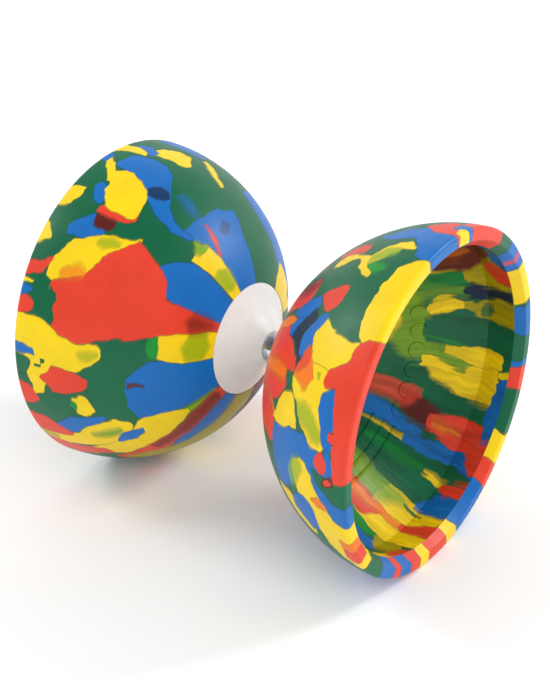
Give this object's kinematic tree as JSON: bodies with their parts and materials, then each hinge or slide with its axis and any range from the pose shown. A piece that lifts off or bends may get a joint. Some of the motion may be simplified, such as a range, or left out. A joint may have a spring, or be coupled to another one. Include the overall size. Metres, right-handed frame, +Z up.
{
  "type": "diabolo",
  "caption": "Fixed-axle rubber diabolo: two marbled rubber bowls back to back on white dished hubs, clamped on a threaded steel axle with a polished sleeve for the string.",
  "frame": {"origin": "middle of the axle, halfway between the two cups", "axes": "+X along the axle, +Z up; the diabolo lies on the rims of its two cups"},
  "size_m": [0.1216, 0.107, 0.107],
  "materials": {
    "marbled_rubber": "satin, marbled green, blue, yellow and red",
    "hub_plastic": "satin white",
    "plate_plastic": "matt off-white",
    "polished_steel": "polished",
    "zinc_steel": "zinc plated",
    "nylon": "matt blue"
  },
  "bodies": {
    "diabolo": {"cup_right": "marbled_rubber", "cup_left": "marbled_rubber", "hub_right": "hub_plastic", "hub_left": "hub_plastic", "axle_sleeve": "polished_steel", "threaded_rod": "zinc_steel", "pressure_plate_right": "plate_plastic", "pressure_plate_left": "plate_plastic"},
    "right_washer": {"washer_right": "zinc_steel"},
    "right_nut": {"lock_nut_right": "zinc_steel", "nylon_ring_right": "nylon"},
    "left_washer": {"washer_left": "zinc_steel"},
    "left_nut": {"lock_nut_left": "zinc_steel", "nylon_ring_left": "nylon"}
  },
  "joints": [
    {"name": "right_washer_slide", "type": "slide", "parent": "diabolo", "child": "right_washer", "axis": [1, 0, 0], "range_m": [0, 0.0079]},
    {"name": "right_nut_turn", "type": "hinge", "parent": "right_washer", "child": "right_nut", "pos_m": [0.025, 0, 0], "axis": [1, 0, 0], "range_deg": [0, 2850]},
    {"name": "left_washer_slide", "type": "slide", "parent": "diabolo", "child": "left_washer", "axis": [-1, 0, 0], "range_m": [0, 0.0079]},
    {"name": "left_nut_turn", "type": "hinge", "parent": "left_washer", "child": "left_nut", "pos_m": [-0.025, 0, 0], "axis": [-1, 0, 0], "range_deg": [0, 2850]}
  ],
  "couplings": [
    {"joint": "right_nut_turn", "follows": "right_washer_slide", "rad_per_m": 6283.2},
    {"joint": "left_nut_turn", "follows": "left_washer_slide", "rad_per_m": 6283.2}
  ]
}
